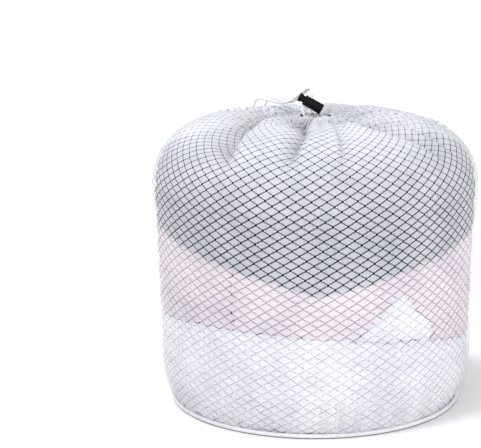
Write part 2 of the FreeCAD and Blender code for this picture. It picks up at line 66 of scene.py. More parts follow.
MM = 0.001
panel_low, panel_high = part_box("mesh_side_panel")
binding_low, binding_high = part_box("base_seam_binding")
hem_low, hem_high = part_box("drawcord_channel")
BAG_RADIUS = panel_high.x
HEM_RADIUS = hem_high.x
SEAM_RADIUS = 146.5 * MM
SEAM_HEIGHT = panel_low.z
WALL_RADIUS = 157 * MM
LOWER_HEIGHT = 45 * MM
LOWER_ARC = 95 * MM
SHOULDER_HEIGHT = 218.5 * MM
SHOULDER_ARC = 62 * MM
SHOULDER_SWEEP = 72
CROWN_ARC = 215 * MM
CORD_DIAMETER = 2.5 * MM
ROUND = 2 * math.pi * BAG_RADIUS


# ---------------------------------------------------------------- mesh helpers

def mesh_object(name, points, faces):
    """A smooth-shaded mesh object from lists or arrays of points and faces."""
    mesh = bpy.data.meshes.new(name)
    mesh.from_pydata([tuple(p) for p in points], [], [tuple(f) for f in faces])
    mesh.polygons.foreach_set("use_smooth", [True] * len(mesh.polygons))
    mesh.update()
    item = bpy.data.objects.new(name, mesh)
    bpy.context.scene.collection.objects.link(item)
    return item


def triangle_object(name, points, triangles):
    """A mesh object from a large array of triangles."""
    mesh = bpy.data.meshes.new(name)
    mesh.vertices.add(len(points))
    mesh.vertices.foreach_set("co", np.asarray(points, np.float32).ravel())
    mesh.loops.add(len(triangles) * 3)
    mesh.loops.foreach_set("vertex_index", np.asarray(triangles, np.int32).ravel())
    mesh.polygons.add(len(triangles))
    mesh.polygons.foreach_set("loop_start", np.arange(0, len(triangles) * 3, 3, dtype=np.int32))
    mesh.update(calc_edges=True)
    mesh.validate()
    mesh.polygons.foreach_set("use_smooth", [True] * len(mesh.polygons))
    item = bpy.data.objects.new(name, mesh)
    bpy.context.scene.collection.objects.link(item)
    return item


def grid_faces(rows, columns, closed_rows=False, closed_columns=False):
    """Quads over a grid of points stored row by row."""
    faces = []
    for i in range(rows if closed_rows else rows - 1):
        for j in range(columns if closed_columns else columns - 1):
            a = i * columns + j
            b = i * columns + (j + 1) % columns
            c = (i + 1) % rows * columns + (j + 1) % columns
            d = (i + 1) % rows * columns + j
            faces.append((a, b, c, d))
    return faces


def settle(item, body, slot, *replaced):
    """Put a finished piece on its body and in its nodes' place. Its slot argument is not used."""
    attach(item, body)
    if replaced:
        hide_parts(*replaced)
    return item


# ---------------------------------------------------------------- camera

CAMERA_PLACE = (0, -1.510, 0.504)
CAMERA_AIM = Vector((0, 0, 0.150))
SENSOR_WIDTH = 36
LENS = 114.6
SHIFT_X = -0.155
SHIFT_Y = 0.051

camera_data = bpy.data.cameras.new("camera")
camera = bpy.data.objects.new("camera", camera_data)
bpy.context.scene.collection.objects.link(camera)
bpy.context.scene.camera = camera
camera.location = CAMERA_PLACE
look = CAMERA_AIM - camera.location
camera.rotation_mode = "QUATERNION"
camera.rotation_quaternion = look.to_track_quat("-Z", "Y")
camera_data.sensor_width = SENSOR_WIDTH
camera_data.lens = LENS
camera_data.shift_x = SHIFT_X
camera_data.shift_y = SHIFT_Y


# ---------------------------------------------------------------- materials

# Uneven colour: patches per metre, and the share of the noise over which a colour changes.
PATCHES = 22
PATCH_RANGE = (0.35, 0.65)
CLOTH_ROUGHNESS = (0.84, 0.96)
CLOTH_SHEEN = 0.25
KNIT_SHEEN = 0.15
SHEEN_ROUGHNESS = 0.5


def new_material(name):
    """A new material, its node tree and its Principled shader."""
    material = bpy.data.materials.new(name)
    material.use_nodes = True
    tree = material.node_tree
    shader = next(n for n in tree.nodes if n.type == "BSDF_PRINCIPLED")
    return material, tree, shader


def add(tree, kind, **values):
    """A node with its properties and input values set by name."""
    node = tree.nodes.new(kind)
    for key, value in values.items():
        if hasattr(node, key):
            setattr(node, key, value)
        else:
            node.inputs[key.replace("_", " ")].default_value = value
    return node


def object_place(tree, scale=(1, 1, 1), turn=(0, 0, 0)):
    """Object coordinates, scaled and turned."""
    place = add(tree, "ShaderNodeTexCoord")
    mapping = add(tree, "ShaderNodeMapping")
    mapping.inputs["Scale"].default_value = scale
    mapping.inputs["Rotation"].default_value = turn
    tree.links.new(place.outputs["Object"], mapping.inputs["Vector"])
    return mapping.outputs["Vector"]


def ramp(tree, factor, low, high, start=0.0, end=1.0):
    """Colour from low to high as a factor goes from start to end."""
    node = tree.nodes.new("ShaderNodeValToRGB")
    node.color_ramp.elements[0].position = start
    node.color_ramp.elements[1].position = end
    node.color_ramp.elements[0].color = (*low, 1)
    node.color_ramp.elements[1].color = (*high, 1)
    tree.links.new(factor, node.inputs["Fac"])
    return node.outputs["Color"]


def levels(tree, factor, low, high):
    """A number from low to high as a factor goes from 0 to 1."""
    node = add(tree, "ShaderNodeMapRange")
    node.inputs["To Min"].default_value = low
    node.inputs["To Max"].default_value = high
    tree.links.new(factor, node.inputs["Value"])
    return node.outputs["Result"]


def relief(tree, shader, height, depth):
    """Bump of a real depth in metres from a height."""
    bump = add(tree, "ShaderNodeBump", Distance=depth, Strength=1.0)
    tree.links.new(height, bump.inputs["Height"])
    tree.links.new(bump.outputs["Normal"], shader.inputs["Normal"])


def product(tree, a, b):
    node = add(tree, "ShaderNodeMath", operation="MULTIPLY")
    tree.links.new(a, node.inputs[0])
    tree.links.new(b, node.inputs[1])
    return node.outputs[0]


def noise(tree, vector, scale, detail):
    node = add(tree, "ShaderNodeTexNoise", Scale=scale, Detail=detail)
    tree.links.new(vector, node.inputs["Vector"])
    return node.outputs["Fac"]


def slanting_wave(tree, vector, scale):
    node = add(tree, "ShaderNodeTexWave", bands_direction="DIAGONAL", Scale=scale, Distortion=0.6)
    tree.links.new(vector, node.inputs["Vector"])
    return node.outputs["Fac"]


def cloth_material(name, low, high, ribs, depth):
    """Woven or knitted cloth: two crossed sets of ribs, uneven in colour, with soft sheen."""
    material, tree, shader = new_material(name)
    place = object_place(tree)
    around = add(tree, "ShaderNodeTexCoord").outputs["Object"]
    warp = slanting_wave(tree, place, ribs)
    turned = object_place(tree, turn=(0, 0, math.radians(90)))
    weft = slanting_wave(tree, turned, ribs)
    weave = product(tree, warp, weft)
    colour = ramp(tree, noise(tree, around, PATCHES, 4), low, high, *PATCH_RANGE)
    tree.links.new(colour, shader.inputs["Base Color"])
    tree.links.new(levels(tree, weave, *CLOTH_ROUGHNESS), shader.inputs["Roughness"])
    relief(tree, shader, weave, depth)
    shader.inputs["Sheen Weight"].default_value = CLOTH_SHEEN
    shader.inputs["Sheen Roughness"].default_value = SHEEN_ROUGHNESS
    return material


def maths(tree, operation, first, *values):
    """A maths node on a socket and plain numbers or further sockets."""
    node = add(tree, "ShaderNodeMath", operation=operation)
    for socket, value in zip(node.inputs, (first, *values)):
        if isinstance(value, bpy.types.NodeSocket):
            tree.links.new(value, socket)
        else:
            socket.default_value = value
    return node.outputs[0]


def line_shade(tree, place, width, shade):
    """From a shade on the lattice's lines, where a cell coordinate is whole, to 1 beside them."""
    node = add(tree, "ShaderNodeMapRange", interpolation_type="SMOOTHSTEP")
    node.inputs["From Max"].default_value = width
    node.inputs["To Min"].default_value = shade
    tree.links.new(maths(tree, "PINGPONG", place, 0.5), node.inputs["Value"])
    return node.outputs["Result"]


# Heights between which the painted contact shadow on the foot of a cloth goes from dark to none,
# and its shade where dark.
FOOT_SHADOW_FULL_BELOW = 0.5 * MM
FOOT_SHADOW_GONE_ABOVE = 1.6 * MM
FOOT_SHADE = 0.03


def paint_foot_shadow(material):
    """Paint a dark contact shadow on the foot of a cloth where it stands on the floor."""
    tree = material.node_tree
    shader = next(n for n in tree.nodes if n.type == "BSDF_PRINCIPLED")
    unshaded = shader.inputs["Base Color"].links[0].from_socket
    split = add(tree, "ShaderNodeSeparateXYZ")
    tree.links.new(object_place(tree), split.inputs["Vector"])
    # Painted contact shadow: full below one height, none above another.
    foot_shadow = add(tree, "ShaderNodeMapRange", interpolation_type="SMOOTHSTEP")
    foot_shadow.inputs["From Min"].default_value = FOOT_SHADOW_FULL_BELOW
    foot_shadow.inputs["From Max"].default_value = FOOT_SHADOW_GONE_ABOVE
    foot_shadow.inputs["To Min"].default_value = FOOT_SHADE
    tree.links.new(split.outputs["Z"], foot_shadow.inputs["Value"])
    tint = add(tree, "ShaderNodeVectorMath", operation="SCALE")
    tree.links.new(unshaded, tint.inputs[0])
    tree.links.new(foot_shadow.outputs["Result"], tint.inputs["Scale"])
    tree.links.new(tint.outputs["Vector"], shader.inputs["Base Color"])
    return material


def knit_material(name, alpha):
    """The bag's warp knit, which lets a share of what is behind it show. Soft diamonds of fine
    threads lie between lines of open yarn, and the rising lines are the more open ones. The lines
    are also darkened with painted shade for the shadow seen through them, and the creases are
    greyed with painted shade by their depth."""
    material, tree, shader = new_material(name)
    cell = add(tree, "ShaderNodeUVMap", uv_map="lattice")
    split = add(tree, "ShaderNodeSeparateXYZ")
    tree.links.new(cell.outputs["UV"], split.inputs["Vector"])
    closeness = (alpha - KNIT_COVERS[0]) / (KNIT_COVERS[-1] - KNIT_COVERS[0])
    shade = OPEN_LINE + CLOSER_LINE * closeness
    # The lattice lines' darkness comes partly from their lower cover and partly from painted shade.
    rising = line_shade(tree, split.outputs["Y"], RISING_LINE, shade)
    falling = line_shade(tree, split.outputs["X"], FALLING_LINE, FAINTER_FALLING * shade)
    painted_line_shade = product(tree, rising, falling)
    turns = maths(tree, "MULTIPLY", split.outputs["X"], 2 * math.pi * THREADS)
    threads = maths(tree, "SINE", turns)
    uneven = noise(tree, object_place(tree), PATCHES, 4)
    patches = ramp(tree, uneven, KNIT_SHADED, KNIT_BRIGHT, *PATCH_RANGE)
    # Creases, gathers and seam puckers are greyed with painted shade by their depth.
    creases = add(tree, "ShaderNodeUVMap", uv_map="creases")
    depth = add(tree, "ShaderNodeSeparateXYZ")
    tree.links.new(creases.outputs["UV"], depth.inputs["Vector"])
    crease_shaded = product(tree, painted_line_shade, levels(tree, depth.outputs["X"], 1.0, CREASE_SHADE))
    tint = add(tree, "ShaderNodeVectorMath", operation="SCALE")
    tree.links.new(patches, tint.inputs[0])
    shaded = product(tree, crease_shaded, levels(tree, threads, THREAD_SHADE, 1.0))
    tree.links.new(shaded, tint.inputs["Scale"])
    tree.links.new(tint.outputs["Vector"], shader.inputs["Base Color"])
    tree.links.new(levels(tree, painted_line_shade, 0.95, 0.84), shader.inputs["Roughness"])
    raised = maths(tree, "MULTIPLY_ADD", threads, THREAD_RELIEF, painted_line_shade)
    relief(tree, shader, raised, KNIT_RELIEF)
    shader.inputs["Sheen Weight"].default_value = KNIT_SHEEN
    shader.inputs["Sheen Roughness"].default_value = SHEEN_ROUGHNESS
    shader.inputs["Alpha"].default_value = alpha
    return material


PLASTIC_DARK = (0.002, 0.002, 0.0025)
PLASTIC_SCUFFED = (0.008, 0.008, 0.009)
ACETAL_IOR = 1.48


def plastic_material():
    """Black moulded acetal with a fine spark-eroded grain and faint scuffs."""
    material, tree, shader = new_material("lock_plastic")
    place = object_place(tree)
    grain = noise(tree, place, 2600, 2)
    scuffs = noise(tree, place, 420, 6)
    colour = ramp(tree, scuffs, PLASTIC_DARK, PLASTIC_SCUFFED, 0.4, 0.75)
    tree.links.new(colour, shader.inputs["Base Color"])
    tree.links.new(levels(tree, scuffs, 0.26, 0.42), shader.inputs["Roughness"])
    relief(tree, shader, grain, 0.02 * MM)
    shader.inputs["IOR"].default_value = ACETAL_IOR
    shader.inputs["Specular IOR Level"].default_value = 0.2
    return material


def steel_material():
    """Drawn spring wire."""
    material, tree, shader = new_material("spring_wire")
    drawn = noise(tree, object_place(tree, scale=(1, 1, 0.1)), 3000, 2)
    colour = ramp(tree, drawn, (0.42, 0.42, 0.44), (0.62, 0.62, 0.64))
    tree.links.new(colour, shader.inputs["Base Color"])
    tree.links.new(levels(tree, drawn, 0.18, 0.4), shader.inputs["Roughness"])
    shader.inputs["Metallic"].default_value = 1.0
    return material


# Distances in metres over which the floor's glow rises to its full strength.
GLOW_FROM = 0.11
GLOW_FULL = 0.36
GLOW = 0.6


def floor_material():
    """A matt white floor with a soft glow, which grows away from the middle."""
    material, tree, shader = new_material("floor")
    place = object_place(tree)
    tone = noise(tree, place, 3, 2)
    colour = ramp(tree, tone, (0.93, 0.93, 0.93), (0.95, 0.95, 0.95))
    tree.links.new(colour, shader.inputs["Base Color"])
    away = add(tree, "ShaderNodeVectorMath", operation="LENGTH")
    tree.links.new(place, away.inputs[0])
    glow = add(tree, "ShaderNodeMapRange", interpolation_type="SMOOTHSTEP")
    glow.inputs["From Min"].default_value = GLOW_FROM
    glow.inputs["From Max"].default_value = GLOW_FULL
    glow.inputs["To Max"].default_value = GLOW
    tree.links.new(away.outputs["Value"], glow.inputs["Value"])
    shader.inputs["Emission Color"].default_value = (1, 1, 1, 1)
    tree.links.new(glow.outputs["Result"], shader.inputs["Emission Strength"])
    shader.inputs["Roughness"].default_value = 0.9
    shader.inputs["Specular IOR Level"].default_value = 0.1
    return material


# Painted shade on the knit's lines, for the shadow seen through the open yarn: its value where the
# knit is most open, how much lighter it is where most bunched, and the lines' width in cells. The
# falling lines are a little lighter.
OPEN_LINE = 0.22
CLOSER_LINE = 0.5
RISING_LINE = 0.10
FALLING_LINE = 0.09
FAINTER_FALLING = 1.2
KNIT_SHADED = (0.74, 0.755, 0.84)
KNIT_BRIGHT = (0.86, 0.87, 0.93)
# Painted shade at the bottom of the deepest creases.
CREASE_SHADE = 0.74
# Fine threads across a cell, with their shade and relief.
THREADS = 6
THREAD_SHADE = 0.96
THREAD_RELIEF = 0.12
KNIT_RELIEF = 0.35 * MM
# How much of what is behind the knit it covers, from the most open to the closest, and the step
# of the diamonds on the wall.
KNIT_COVERS = np.linspace(0.30, 0.97, 14)
WALL_COVER = 5
knits = [knit_material(f"knit_{i}", cover) for i, cover in enumerate(KNIT_COVERS)]
hem_cloth = cloth_material("hem_cloth", (0.78, 0.78, 0.84), (0.88, 0.88, 0.92), 260, 0.15 * MM)
tape_cloth = cloth_material("tape_cloth", (0.78, 0.78, 0.83), (0.88, 0.88, 0.92), 420, 0.12 * MM)
# The binding's foot carries a painted contact shadow.
binding_cloth = paint_foot_shadow(
    cloth_material("binding_cloth", (0.78, 0.78, 0.83), (0.88, 0.88, 0.92), 420, 0.12 * MM)
)
cord_cloth = cloth_material("cord_cloth", (0.82, 0.82, 0.85), (0.92, 0.92, 0.94), 600, 0.1 * MM)
thread_cloth = cloth_material(
    "thread_cloth", (0.74, 0.74, 0.80), (0.86, 0.86, 0.90), 1500, 0.05 * MM
)
white_cloth = cloth_material("white_cloth", (0.74, 0.74, 0.77), (0.85, 0.85, 0.87), 190, 0.4 * MM)
pink_cloth = cloth_material("pink_cloth", (0.56, 0.43, 0.49), (0.67, 0.53, 0.58), 190, 0.4 * MM)
dark_cloth = cloth_material(
    "dark_cloth", (0.008, 0.009, 0.022), (0.020, 0.022, 0.048), 190, 0.4 * MM
)
black_plastic = plastic_material()
spring_steel = steel_material()


def finish_node(name, material):
    """Give a CAD node that stays its own material."""
    for entry in nodes[name].material_slots:
        entry.material = material


# ---------------------------------------------------------------- drawcord

# The free ends in millimetres, from the hem's slot up through the lock, over behind it, down the
# back of the dome and the wall, to the knot on the floor behind the bag.
FRONT_STRAND = [
    (-11.0, -1.5, 286.0),
    (-11.4, -1.7, 288.5),
    (-12.5, -1.3, 291.0),
    (-12.2, 0.0, 293.2),
    (-4.2, 0.0, 307.1),
    (-3.2, 2.8, 310.9),
    (-5.6, 7.6, 312.3),
    (-11.6, 11.4, 308.7),
    (-20.5, 15.6, 300.5),
    (-31.0, 22.5, 294.1),
    (-41.0, 40.0, 293.7),
    (-50.0, 66.0, 292.5),
    (-63.0, 98.0, 290.0),
    (-67.0, 128.0, 270.5),
    (-77.0, 144.0, 244.5),
    (-74.0, 151.5, 210.0),
    (-78.0, 147.0, 163.0),
    (-71.0, 149.5, 113.5),
    (-75.0, 146.0, 66.0),
    (-70.0, 147.5, 30.0),
    (-66.0, 156.0, 8.0),
    (-52.0, 166.0, 1.6),
    (-30.0, 172.5, 1.4),
    (-6.0, 174.0, 1.4),
    (16.0, 170.0, 3.0),
]
REAR_STRAND = [
    (-11.0, 1.5, 286.0),
    (-10.7, 1.7, 288.0),
    (-9.7, 1.4, 289.9),
    (-9.8, 0.0, 291.9),
    (-1.8, 0.0, 305.8),
    (0.0, 3.6, 310.1),
    (-2.0, 9.6, 312.4),
    (-8.0, 15.0, 308.9),
    (-16.0, 20.2, 300.5),
    (-24.5, 29.5, 294.1),
    (-37.0, 49.0, 293.9),
    (-40.0, 76.0, 292.3),
    (-50.0, 108.0, 289.0),
    (-57.0, 138.0, 269.5),
    (-62.0, 155.0, 241.5),
    (-63.0, 158.5, 206.0),
    (-58.0, 156.5, 159.0),
    (-63.0, 152.5, 109.5),
    (-56.0, 154.5, 61.0),
    (-58.0, 154.5, 26.0),
    (-52.0, 160.5, 5.5),
    (-38.0, 165.5, 1.4),
    (-19.0, 168.0, 1.4),
    (-1.0, 166.5, 1.4),
    (16.0, 165.0, 3.0),
]
BRAID_STEP = 0.6 * MM
BRAID_SIDES = 14
BRAID_PITCH = 3.4 * MM
BRAID_DEPTH = 0.05


def route_line(points):
    """The smooth line that a cord lies in, read from its NURBS spline."""
    curve = bpy.data.curves.new("route", "CURVE")
    curve.dimensions = "3D"
    spline = curve.splines.new("NURBS")
    spline.points.add(len(points) - 1)
    for point, place in zip(spline.points, points):
        point.co = (*place, 1)
    spline.order_u = 3
    spline.use_endpoint_u = True
    curve.resolution_u = 24
    holder = bpy.data.objects.new("route", curve)
    mesh = bpy.data.meshes.new_from_object(holder)
    line = np.array([v.co for v in mesh.vertices], float)
    bpy.data.objects.remove(holder)
    bpy.data.curves.remove(curve)
    bpy.data.meshes.remove(mesh)
    return line


def evenly(line, step):
    """The same line with its points about a step apart."""
    runs = np.linalg.norm(np.diff(line, axis=0), axis=1)
    along = np.concatenate([[0], np.cumsum(runs)])
    at = np.linspace(0, along[-1], int(along[-1] / step) + 1)
    return np.stack([np.interp(at, along, line[:, k]) for k in range(3)], 1)


def carried_frames(line):
    """Two directions across a line at each of its points, carried along it without twist."""
    heading = np.gradient(line, axis=0)
    heading /= np.linalg.norm(heading, axis=1)[:, None]
    side = np.zeros_like(line)
    first = np.cross(heading[0], (0.0, 0.0, 1.0))
    if np.linalg.norm(first) < 0.1:
        first = np.cross(heading[0], (0.0, 1.0, 0.0))
    side[0] = first / np.linalg.norm(first)
    for i in range(1, len(line)):
        kept = side[i - 1] - heading[i] * (side[i - 1] @ heading[i])
        side[i] = kept / np.linalg.norm(kept)
    return side, np.cross(heading, side)


def braided_tube(name, line, radius):
    """A round braided cord along a line: two sets of ridges wind round it against each other."""
    side, over = carried_frames(line)
    around = np.linspace(0, 2 * math.pi, BRAID_SIDES, endpoint=False)
    along = np.arange(len(line)) * BRAID_STEP
    wound = 2 * math.pi * along / BRAID_PITCH
    points = []
    for i, centre in enumerate(line):
        ridge = np.cos(3 * around + wound[i]) * np.cos(3 * around - wound[i])
        reach = radius * (1 + BRAID_DEPTH * ridge)
        points.append(
            centre
            + np.outer(reach * np.cos(around), side[i])
            + np.outer(reach * np.sin(around), over[i])
        )
    points = np.concatenate(points)
    faces = grid_faces(len(line), BRAID_SIDES, closed_columns=True)
    last = (len(line) - 1) * BRAID_SIDES
    faces.append(tuple(range(BRAID_SIDES))[::-1])
    faces.append(tuple(range(last, last + BRAID_SIDES)))
    item = mesh_object(name, points, faces)
    item.data.materials.append(cord_cloth)
    return item


front_line = evenly(route_line([(x * MM, y * MM, z * MM) for x, y, z in FRONT_STRAND]), BRAID_STEP)
rear_line = evenly(route_line([(x * MM, y * MM, z * MM) for x, y, z in REAR_STRAND]), BRAID_STEP)
front_tail = braided_tube("drawcord_front", front_line, CORD_DIAMETER / 2)
rear_tail = braided_tube("drawcord_rear", rear_line, CORD_DIAMETER / 2)
for tail, node in ((front_tail, "drawcord_tail_front"), (rear_tail, "drawcord_tail_rear")):
    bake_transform(tail)
    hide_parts(node)


# ---------------------------------------------------------------- knot at the cord's ends

def end_knot():
    """A tight overhand knot in both strands, with their two cut ends."""
    low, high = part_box("drawcord_end_knot")
    middle = (low + high) / 2
    half_width = (high.y - low.y) / 2 - CORD_DIAMETER / 2
    half_height = (high.z - low.z) / 2 - CORD_DIAMETER / 2
    turns = np.linspace(0, 2 * math.pi, 180, endpoint=False)
    reach = (2 + np.cos(3 * turns)) / 3
    line = np.stack([
        middle.x + 1.15 * half_width * reach * np.cos(2 * turns),
        middle.y + half_width * reach * np.sin(2 * turns),
        middle.z + half_height * np.sin(3 * turns),
    ], 1)
    parts = [braided_tube("drawcord_knot", np.concatenate([line, line[:1]]), CORD_DIAMETER / 2)]
    for index, side in enumerate((-1, 1)):
        start = (high.x - 3.5 * MM, middle.y + side * 1.6 * MM, 2.6 * MM)
        bend = (high.x + 1.5 * MM, middle.y + side * 2.6 * MM, 1.5 * MM)
        end = (high.x + 6.5 * MM, middle.y + side * 4.4 * MM, 1.4 * MM)
        stub = evenly(route_line([start, bend, end]), BRAID_STEP)
        parts.append(braided_tube(f"stub_{index}", stub, CORD_DIAMETER / 2))
    return join(parts)


def join(parts):
    """Several mesh objects as one, under the first one's name."""
    whole = bmesh.new()
    for part in parts:
        whole.from_mesh(part.data)
    whole.to_mesh(parts[0].data)
    whole.free()
    for part in parts[1:]:
        bpy.data.objects.remove(part)
    return parts[0]


knot = settle(end_knot(), "bag", "cord", "drawcord_end_knot")


# ---------------------------------------------------------------- outline and folds of the bag

def arc_points(centre, radius, start, end, steps):
    """Points of radius and height on an arc from start to end degrees."""
    angles = np.radians(np.linspace(start, end, steps))
    return np.stack([centre[0] + radius * np.cos(angles), centre[1] + radius * np.sin(angles)], 1)


def bag_outline():
    """Radius and height of the bag's outer face, from the base seam up to the hem."""
    low = np.array([SEAM_RADIUS, SEAM_HEIGHT])
    high = np.array([WALL_RADIUS, LOWER_HEIGHT])
    half = (high - low) / 2
    inward = np.array([-half[1], half[0]]) / np.hypot(*half)
    centre = low + half + inward * math.sqrt(LOWER_ARC ** 2 - half @ half)
    first = math.degrees(math.atan2(*(low - centre)[::-1]))
    last = math.degrees(math.atan2(*(high - centre)[::-1]))
    lower = arc_points(centre, LOWER_ARC, first, last, 30)
    shoulder_centre = (BAG_RADIUS - SHOULDER_ARC, SHOULDER_HEIGHT)
    shoulder = arc_points(shoulder_centre, SHOULDER_ARC, 0, SHOULDER_SWEEP, 60)
    top = shoulder[-1]
    sweep = math.radians(SHOULDER_SWEEP)
    crown_centre = top - CROWN_ARC * np.array([math.cos(sweep), math.sin(sweep)])
    over = math.degrees(math.acos((HEM_RADIUS - crown_centre[0]) / CROWN_ARC))
    crown = arc_points(crown_centre, CROWN_ARC, SHOULDER_SWEEP, over, 60)
    wall = np.linspace(lower[-1], shoulder[0], 40)
    return np.concatenate([lower, wall[1:-1], shoulder, crown[1:]])


outline = bag_outline()
outline_along = np.concatenate([[0], np.cumsum(np.linalg.norm(np.diff(outline, axis=0), axis=1))])
PANEL_LENGTH = outline_along[-1]
slope = np.gradient(outline, outline_along, axis=0)
outline_normal = np.stack([slope[:, 1], -slope[:, 0]], 1)

# Where the dome starts, up the cloth from the base seam. Its creases are each a line of bearings
# (degrees) at radii of 18, 50, 90 and 145 mm, with its depth, and how far its flanks reach towards
# smaller and larger bearings (mm).
DOME_FROM = 190 * MM
CREASE_RADII = (18, 50, 90, 145)
CREASES = [
    ((-88, -62, -46, -34), 15.0, 30.0, 6.0),
    ((-20, -10, -5, -9), 11.0, 12.0, 4.0),
    ((30, 27, 38, 54), 15.0, 5.0, 26.0),
    ((12, 16, 14, 10), 5.0, 2.4, 7.0),
    ((20, 40, 60, 64), 5.0, 2.6, 10.0),
    ((-130, -112, -104, -98), 5.0, 3.0, 16.0),
    ((100, 104, 98, 92), 5.0, 16.0, 3.0),
    ((160, 150, 146, 150), 5.0, 3.0, 14.0),
    ((-168, -172, -166, -160), 3.0, 10.0, 2.6),
]
# Waves round the bag of the gathers that fan out from the hem, two gathers to a wave, and the
# depths of the gathers (mm).
GATHER_WAVES = 13
FINE_WAVES = 29
GATHER_DEPTH = 5.0
FINE_DEPTH = 2.0
# Puckers over the base seam: their depth (mm), and a wave that paces them along it.
PUCKER_DEPTH = 1.3
PUCKER_WAVE = 7.5 * MM
# How far the clothes push the wall out (mm).
LUMP_HEIGHT = 1.2
# Soft bulges of the dome: bearing (degrees), radius, height and spread (mm).
BULGES = [
    (-84, 86, 8.0, 44),
    (-14, 108, 3.5, 34),
    (74, 92, 7.0, 42),
    (30, 70, 2.5, 20),
    (150, 100, 2.0, 34),
]


def smooth_step(x, low, high):
    t = np.clip((x - low) / (high - low), 0, 1)
    return t * t * (3 - 2 * t)


def wandering(x, y, seed, scale):
    """Smooth irregular numbers from -1 to 1: a few sine waves of chosen directions and phases."""
    rng = np.random.default_rng(seed)
    total = np.zeros(np.broadcast(x, y).shape)
    weight = 0.0
    for octave in range(3):
        for _ in range(3):
            turn, phase = rng.uniform(0, 2 * math.pi, 2)
            share = 0.6 ** octave
            pace = 2 * math.pi * 1.7 ** octave / scale
            total += share * np.sin((x * math.cos(turn) + y * math.sin(turn)) * pace + phase)
            weight += share
    return total / weight * 1.6


def signed_turn(angle):
    return (angle + math.pi) % (2 * math.pi) - math.pi


def crease_depth(bearing, radius, along):
    """How far the dome's creases and the gathers at the hem sink into it, in millimetres."""
    r = radius / MM
    on_dome = along > DOME_FROM
    fade = smooth_step(r, 16, 42) * (1 - smooth_step(r, 120, 158)) * on_dome
    depth = np.zeros_like(r)
    for bearings, deepest, before, after in CREASES:
        centre = np.radians(np.interp(r, CREASE_RADII, bearings))
        across = signed_turn(bearing - centre) * r
        width = np.where(across < 0, before, after)
        depth += deepest * fade * np.exp(-np.abs(across / width) ** 1.3)
    uneven = 1.1 * np.sin(3 * bearing + 0.7) + 0.8 * np.sin(7 * bearing + 2.1)
    gather = np.abs(np.sin(GATHER_WAVES * bearing + uneven + 0.012 * r))
    fine = np.abs(np.sin(FINE_WAVES * bearing + 2 * uneven - 0.02 * r))
    near = smooth_step(r, 14, 26) * (1 - smooth_step(r, 40, 105)) * on_dome
    return depth + near * (GATHER_DEPTH * (1 - gather) ** 2 + FINE_DEPTH * (1 - fine) ** 2)


def pucker_depth(bearing, along):
    """How far the small upright puckers over the base seam sink in, in millimetres."""
    arc = bearing * BAG_RADIUS
    ridges = np.sin(arc / PUCKER_WAVE + 2.4 * np.sin(arc / 0.043)) ** 2
    uneven = 0.5 + 0.5 * np.sin(arc / 0.09 + 1)
    seam = smooth_step(along, 0.0, 0.006) * (1 - smooth_step(along, 0.016, 0.052))
    return PUCKER_DEPTH * ridges * uneven * seam


def fold_height(bearing, radius, along):
    """How far the cloth stands out from the plain outline, in metres."""
    x = radius * np.sin(bearing)
    y = -radius * np.cos(bearing)
    height = -crease_depth(bearing, radius, along)
    for turn, at, rise, spread in BULGES:
        cx = at * MM * math.sin(math.radians(turn))
        cy = -at * MM * math.cos(math.radians(turn))
        apart = np.hypot(x - cx, y - cy) / (spread * MM)
        height += rise * np.exp(-apart ** 2) * (along > DOME_FROM)
    # clothes pushing at the wall
    lumps = wandering(np.cos(bearing) * 0.16, np.sin(bearing) * 0.16 + along * 1.3, 3, 0.13)
    height += LUMP_HEIGHT * (0.5 + 0.5 * lumps) * smooth_step(along, 0.01, 0.09)
    height -= pucker_depth(bearing, along)
    return height * MM


def on_bag(around, along, lift=0.0):
    """Points of the bag's cloth at distances round it from the front and up from the base seam."""
    radius = np.interp(along, outline_along, outline[:, 0])
    height = np.interp(along, outline_along, outline[:, 1])
    out = np.interp(along, outline_along, outline_normal[:, 0])
    up = np.interp(along, outline_along, outline_normal[:, 1])
    bearing = around / BAG_RADIUS
    raised = fold_height(bearing, radius, along) + lift
    radius = radius + raised * out
    height = height + raised * up
    return np.stack([radius * np.sin(bearing), -radius * np.cos(bearing), height], -1)


# ---------------------------------------------------------------- the knit

# The knit is a lattice of close diamonds between strips of open yarn. There is a hole at each
# corner with thick yarn round it, and small pores along the strips.
DIAMONDS_ROUND = 72
DIAMOND_WIDTH = ROUND / DIAMONDS_ROUND
DIAMOND_HEIGHT = 9.1 * MM
LATTICE_LEAN = 0.077
CORNER_HOLE = 1.6 * MM
EDGE_PORE = 0.68 * MM
RISING_PORES = (0.30, 0.50, 0.70)
FALLING_PORES = (0.34, 0.66)
STRIP = 0.12
CHAMFER = 0.10
# Distances up the cloth from the base seam between which it goes from stretched to bunched.
BUNCHED_FROM = 200 * MM
BUNCHED_TO = 318 * MM
# Depth of a crease, in millimetres, at which the painted shade in it is darkest.
FULL_SHADE = 10.0
# What a triangle of the knit is, and how many steps of cover it is closer or more open.
DIAMOND, RISING, FALLING, EYELET = range(4)
COVER_STEPS = np.array([0, -5, -4, 5])
# How much of the strips' openness and of the holes' size is lost where the cloth is bunched.
STRIP_CLOSING = 0.6
HOLE_CLOSING = 0.35
# Share of a hole's radius within which triangles are left out.
HOLE_CUT = 0.72
SLIVER_AREA = 1e-10


def ring_of(centre, reach, count, turn):
    """Corners of a small hole, a little wider than it is tall."""
    return [
        (
            centre[0] + reach * math.cos(turn + 2 * math.pi * i / count),
            centre[1] + 0.86 * reach * math.sin(turn + 2 * math.pi * i / count),
        )
        for i in range(count)
    ]


